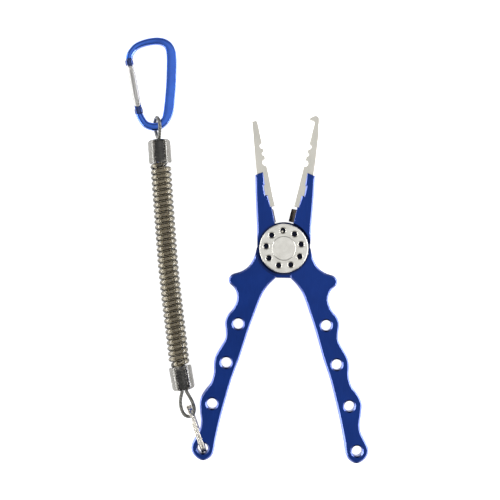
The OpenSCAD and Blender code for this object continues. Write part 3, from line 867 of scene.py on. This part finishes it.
RING_WIRE_R = 0.7
RING_TOP_Z = FRONT_Z + 0.2 + RING_WIRE_R
RING_LOW_Z = REAR_Z - 0.2 - RING_WIRE_R
RING_L = 26.0
RING_ANGLE = 109
RING_PAST = 2.0
RING_STEP = 0.12
RING_START = 0.31
END_HOLE = Vector((16.7, -116.4, 0))


def link_point(t, y):
    """A point of the ring's link, t turns round from the middle of its top run, y across."""
    bend = (RING_TOP_Z - RING_LOW_Z) / 2
    mid = (RING_TOP_Z + RING_LOW_Z) / 2
    straight = RING_L - 2 * bend
    curve = math.pi * bend
    s = (t % 1) * 2 * (straight + curve)
    if s < straight:
        return Vector((bend + s, y, RING_TOP_Z))
    if s < straight + curve:
        a = math.pi / 2 - (s - straight) / bend
        return Vector((bend + straight + bend * math.cos(a), y, mid + bend * math.sin(a)))
    if s < 2 * straight + curve:
        return Vector((bend + 2 * straight + curve - s, y, RING_LOW_Z))
    a = 1.5 * math.pi - (s - 2 * straight - curve) / bend
    return Vector((bend + bend * math.cos(a), y, mid + bend * math.sin(a)))


def make_ring():
    hole = along((0, 0, 0), TURN_B, (-END_HOLE.x, END_HOLE.y, 0))
    start = hole - along((0, 0, 0), RING_ANGLE, (RING_PAST, 0, 0))
    turns = 2 - RING_STEP
    steps = round(turns * 72)
    path = []
    for n in range(steps + 1):
        t = turns * n / steps
        cross = min(max((t - 1 + RING_STEP) / RING_STEP, 0), 1)
        across = -(RING_WIRE_R + 0.02) * math.cos(math.pi * cross)
        path.append(start + along((0, 0, 0), RING_ANGLE, link_point(t + RING_START, across)))
    side = along((0, 0, 0), RING_ANGLE, (0, 1, 0))
    shape = sweep(path, [side] * len(path), [round_section(RING_WIRE_R, 16)] * len(path))
    return piece("split_ring_link", shape, "ring", "polished_steel", ["split_ring"], sharp_degrees=60)


# --- Snap hook ---

HOOK_LINE = [
    (-84.5, 100.6, 4.4), (-84.9, 103.9, 4.3), (-84.1, 107.4, 4.2), (-80.9, 111.2, 4.2),
    (-75.5, 113.4, 4.3), (-69.6, 114.2, 4.4), (-65.2, 113.1, 4.8), (-62.6, 110.3, 5.4),
    (-61.5, 105.4, 5.9), (-61.5, 96, 6), (-61.8, 88.5, 6), (-62.3, 82, 6), (-63, 75.4, 6),
    (-64.5, 70.7, 5.2), (-67.3, 67.6, 4.7), (-71, 66.6, 4.7), (-75.6, 68.1, 4.5),
    (-78.6, 72.4, 4.5), (-79.7, 76.8, 4.5),
]
# How square the bar's section is at each point of its line: 2 is round
HOOK_POWER = [2, 2, 2, 2, 2, 2.1, 2.6, 3.6, 5, 5, 5, 5, 4.6, 3.4, 2.4, 2.1, 2, 2, 2]
# The bar's greatest and least thickness
HOOK_T = 4.6
HOOK_LEAST_T = 4.3
# The bar is this much slimmer than its nominal size, so that it clears the eye as it swings
HOOK_EASE = 0.95
HOOK_BAR = Vector((-71, 66.6, 5.6))
HOOK_PIVOT = Vector((-80.2, 79.7, 0))
HOOK_TILT = 3.9
GATE_ANGLE = 101
# The ear that the gate turns on, and its rivet
EAR_T = 1.6
EAR_R = 1.9
RIVET_R = 0.8
RIVET_EASE = 0.05
# The latch pin along the gate, its radius, and its clearance in the nose's slot
LATCH_AT = 19.0
LATCH_R = 0.55
LATCH_EASE = 0.15
# The collar at each of the bar's two ends: its length, chamfered tip and extra radius
COLLAR_L = 2.9
COLLAR_TIP = 0.25
COLLAR_STEP = 0.22
# The groove behind each collar: its length and depth
GROOVE_L = 0.7
GROOVE_STEP = 0.18
# The spring inside the gate: its ends along the gate, its wire, the radius of its turns and their number
GATE_SPRING_X = (4.95, 12.5)
GATE_SPRING_WIRE_R = 0.2
GATE_SPRING_R = 0.92
GATE_SPRING_TURNS = 6


def in_hook_plane():
    place = Matrix.Translation(HOOK_BAR) @ Matrix.Rotation(math.radians(-HOOK_TILT), 4, "X")
    return place @ Matrix.Translation(Vector((-HOOK_BAR.x, -HOOK_BAR.y, 0)))


def on_gate():
    return in_hook_plane() @ at_end(HOOK_PIVOT, GATE_ANGLE)


def boxed(low, high, place):
    """A box between two corners, put in place by a matrix."""
    corners = [
        Vector((x, y, z))
        for x in (low[0], high[0])
        for y in (low[1], high[1])
        for z in (low[2], high[2])
    ]
    faces = [(0, 1, 3, 2), (4, 6, 7, 5), (0, 4, 5, 1), (2, 3, 7, 6), (0, 2, 6, 4), (1, 5, 7, 3)]
    return [place @ c for c in corners], faces


def carve(obj, shape, operation):
    """Joins a shape to a piece, or cuts it from it, and keeps the result as the piece's mesh."""
    points, faces = shape
    mesh = bpy.data.meshes.new("tool")
    mesh.from_pydata([Vector(p) * MM for p in points], [], faces)
    shade(mesh)
    tool = bpy.data.objects.new("tool", mesh)
    bpy.context.scene.collection.objects.link(tool)
    cut = obj.modifiers.new("cut", "BOOLEAN")
    cut.operation = operation
    cut.solver = "EXACT"
    cut.object = tool
    bpy.context.view_layer.update()
    result = bpy.data.meshes.new_from_object(obj.evaluated_get(bpy.context.evaluated_depsgraph_get()))
    obj.modifiers.remove(cut)
    result.name = obj.data.name
    obj.data = result
    bpy.data.objects.remove(tool)
    shade(obj.data)


def rod_shape(place, radius, low, high, sides=32):
    """A plain rod about Z between two heights."""
    ring = round_section(radius, sides)
    points = [place @ Vector((x, y, height)) for height in (low, high) for x, y in ring]
    faces = [(k, (k + 1) % sides, sides + (k + 1) % sides, sides + k) for k in range(sides)]
    return points, faces + [tuple(reversed(range(sides))), tuple(range(sides, 2 * sides))]


def collar_width(from_end):
    """Extra radius of the bar near one of its ends: a collar, a groove behind it, then nothing."""
    if from_end < COLLAR_TIP:
        return COLLAR_STEP - 0.15
    if from_end < COLLAR_L:
        return COLLAR_STEP
    if from_end < COLLAR_L + GROOVE_L:
        return -GROOVE_STEP
    return 0.0


def make_hook():
    steps = 12
    line = smooth(HOOK_LINE, steps)
    power = smooth([(p, 0, 0) for p in HOOK_POWER], steps)
    travelled = [0.0]
    for a, b in zip(line, line[1:]):
        travelled.append(travelled[-1] + (b.xy - a.xy).length)
    plane = in_hook_plane()
    path, sections = [], []
    for i, point in enumerate(line):
        extra = collar_width(min(travelled[i], travelled[-1] - travelled[i]))
        path.append(plane @ Vector((point.x, point.y, 0)))
        half_w = HOOK_EASE * (point.z / 2) + extra
        half_t = HOOK_EASE * (min(HOOK_T / 2, max(point.z / 2, HOOK_LEAST_T / 2)) + min(extra, 0.1))
        sections.append(squared_section(half_w, half_t, max(power[i].x, 2.0)))
    up = plane.to_3x3() @ UP
    hook = piece("hook_bar", sweep(path, [up] * len(path), sections), "hook", "hook_blue", ["hook_body"],
                 sharp_degrees=38)
    gate = on_gate()
    carve(hook, boxed((-4, -EAR_R, -EAR_T / 2), (0, EAR_R, EAR_T / 2), gate), "UNION")
    carve(hook, rod_shape(gate, EAR_R, -EAR_T / 2, EAR_T / 2, 40), "UNION")
    carve(hook, boxed((LATCH_AT - 1.6, -1.2, -EAR_T / 2), (LATCH_AT + 2.4, 1.2, EAR_T / 2), gate), "UNION")
    carve(hook, rod_shape(gate, RIVET_R + RIVET_EASE, -10, 10), "DIFFERENCE")
    slot_w = LATCH_R + LATCH_EASE
    carve(hook, boxed((LATCH_AT - slot_w, -5, -5), (LATCH_AT + slot_w, 0.2, 5), gate), "DIFFERENCE")
    hook.data.materials.clear()
    hook.data.materials.append(materials["hook_blue"])
    return hook


def make_gate_spring():
    place = on_gate()
    steps = GATE_SPRING_TURNS * 20
    first = GATE_SPRING_X[0] + GATE_SPRING_WIRE_R
    last = GATE_SPRING_X[1] - GATE_SPRING_WIRE_R
    path = []
    for n in range(steps + 1):
        a = math.tau * GATE_SPRING_TURNS * n / steps
        x = first + (last - first) * n / steps
        path.append(place @ Vector((x, GATE_SPRING_R * math.cos(a), GATE_SPRING_R * math.sin(a))))
    up = place.to_3x3() @ Vector((1, 0, 0))
    shape = sweep(path, [up] * len(path), [round_section(GATE_SPRING_WIRE_R, 8)] * len(path))
    return piece("gate_spring_wire", shape, "gate", "stainless", ["gate_spring"], sharp_degrees=80)


# --- Return spring, seen through the disc's top hole ---

SPRING_COIL_R = 7.5
SPRING_LEG_R = 9.2
SPRING_WIRE_R = 0.5
SPRING_SIDES = 14
# Depth of the pocket for the coils below the front face, and the coils' clearance over its floor
SPRING_POCKET = 3.4
SPRING_CLEAR = 0.2
SPRING_LOW_Z = FRONT_Z - SPRING_POCKET + SPRING_CLEAR + SPRING_WIRE_R
SPRING_PITCH = 1.15
SPRING_TURNS = 1.5
# Where the disc's top hole is, in degrees from +X
SPRING_HOLE = 93


def make_return_spring():
    run = 360 * SPRING_TURNS
    high = SPRING_LOW_Z + SPRING_PITCH * SPRING_TURNS
    bend, step = 8, 5
    coils = [
        (a, SPRING_COIL_R, SPRING_LOW_Z + SPRING_PITCH * a / 360)
        for a in range(bend, int(run) - 2 * bend, step)
    ]
    # Angle from the lower leg, radius and height: up the lower leg, round the coils, out and up
    stations = [
        (0, SPRING_COIL_R, MID_Z + 0.4), (0, SPRING_COIL_R, SPRING_LOW_Z - 0.6),
        (1, SPRING_COIL_R, SPRING_LOW_Z - 0.2), *coils,
        (run - bend, SPRING_COIL_R + 0.3, high), (run - 1, SPRING_LEG_R - 0.7, high + 0.2),
        (run + 1.6, SPRING_LEG_R - 0.1, high + 0.7), (run + 2, SPRING_LEG_R, high + 1.4),
        (run + 2, SPRING_LEG_R, DISC_TOP - 0.4),
    ]
    foot = math.radians(SPRING_HOLE - run)
    turned = [foot + math.radians(a) for a, _, _ in stations]
    radial = [Vector((math.cos(a), math.sin(a), 0)) for a in turned]
    path = [r * radial[i] + Vector((0, 0, z)) for i, (_, r, z) in enumerate(stations)]
    shape = sweep(path, radial, [round_section(SPRING_WIRE_R, SPRING_SIDES)] * len(path))
    spring = piece("return_spring_wire", shape, None, "polished_steel", ["return_spring"], sharp_degrees=60)
    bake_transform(spring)
    return spring


# --- Halves, jaws, blades and pivot ---

HANDLE_HOLES = [(14.2, -45.9), (15.5, -68), (17.6, -91.6), (16.7, -116.4)]
CHAMFER = 0.85
BOSS_CHAMFER = 0.5
ARM_END_CHAMFER = 0.45
FINE_CHAMFER = 0.14
# Along the seat of the jaw, which stands a little lower than the arm
SEAT_CHAMFER = 0.58
SEAT_Y = (23.7, 42.9)
# Radii of the recesses that each half leaves round the other's boss
RECESS_ARCS = (14.7, 15.4, 17.1)
# The nut's flange is the only part of it that reaches beyond this radius
NUT_RIM_R = 10.9


def closed(point, turn, mirror):
    """The point in the closed, upright tool, with either half's handle on the +X side."""
    back = Matrix.Rotation(math.radians(-turn), 3, "Z") @ Vector(point)
    if mirror:
        back.x = -back.x
    return back


def half_chamfer(turn, mirror):
    def width(point):
        p = closed(point, turn, mirror)
        r = math.hypot(p.x, p.y)
        if r < BOSS_R - 0.2 or min(math.hypot(p.x - x, p.y - y) for x, y in HANDLE_HOLES) < 4:
            return 0.0
        if abs(r - BOSS_R) < 0.12:
            return BOSS_CHAMFER
        if SEAT_Y[0] < p.y < SEAT_Y[1] and p.x > -4.4:
            return SEAT_CHAMFER
        if (p.y > 12 and p.x > -4.4) or min(abs(r - arc) for arc in RECESS_ARCS) < 0.08:
            return FINE_CHAMFER
        full = ARM_END_CHAMFER if p.y > 42 else CHAMFER
        return FINE_CHAMFER + (full - FINE_CHAMFER) * ease((r - RECESS_ARCS[0]) / 2.5)

    return width


def make_halves():
    plate("half_a_plate", "handle_a", "half_a", half_chamfer(TURN_A, False))
    plate("half_b_plate", "handle_b", "half_b", half_chamfer(TURN_B, True))


def make_steel():
    for end, body in (("plain", "half_a"), ("hooked", "half_b")):
        worked(f"jaw_{end}_steel", f"jaw_{end}", body, "stainless", rounding=0.12)
    for half in ("a", "b"):
        worked(f"cutter_{half}_blade", f"cutter_{half}", f"half_{half}", "carbide", rounding=0.05)
    for name, node, chamfer, chamfered in (
        ("pivot_disc_face", "pivot_disc", 0.5, on_disc_rim),
        ("pivot_screw_head", "pivot_screw", 0.35, on_screw_top),
        ("pivot_nut_flange", "pivot_nut", 0.4, on_nut_rim),
    ):
        worked(name, node, "half_b", "turned_steel", chamfer=chamfer, chamfered=chamfered)


def on_disc_rim(point):
    return point.z > DISC_TOP - 0.01 and math.hypot(point.x, point.y) > DISC_R - 0.4


def on_screw_top(point):
    return point.z > DISC_TOP + 0.3


def on_nut_rim(point):
    return math.hypot(point.x, point.y) > NUT_RIM_R


# CAD nodes whose own shape stays, and their finishes
KEPT = {
    "stainless": [
        "jaw_screws_a", "jaw_screws_b", "cutter_screws_a", "cutter_screws_b",
        "stop_pin", "gate_plunger", "latch_pin",
    ],
    "polished_aluminium": ["gate_rivet"],
    "bronze": ["pivot_bush", "lap_washer"],
}


def finish_kept_nodes():
    for material, nodes in KEPT.items():
        for node in nodes:
            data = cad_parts[node].data
            data.materials.clear()
            data.materials.append(materials[material])


# --- The scene ---

add_camera()
materials = make_materials()
coil, cord_line = make_coil()
lower = make_end("lower", LOWER_END, LOWER_ANGLE, LOWER_LOOP, "lanyard_low", UP)
across_upper = along((0, 0, 0), UPPER_ANGLE, (0, 1, 0))
upper = make_end("upper", UPPER_END, UPPER_ANGLE, UPPER_LOOP, "lanyard_top", across_upper)
make_ring()
make_hook()
worked("hook_gate_rod", "hook_gate", "gate", "polished_aluminium", rounding=0.15)
make_gate_spring()
make_return_spring()
make_halves()
make_steel()
finish_kept_nodes()

add_floor()
add_world()
for lamp, (place_m, size_m, power) in LAMPS.items():
    add_light(lamp, place_m, size_m, power)
bpy.context.scene.view_settings.view_transform = "Standard"
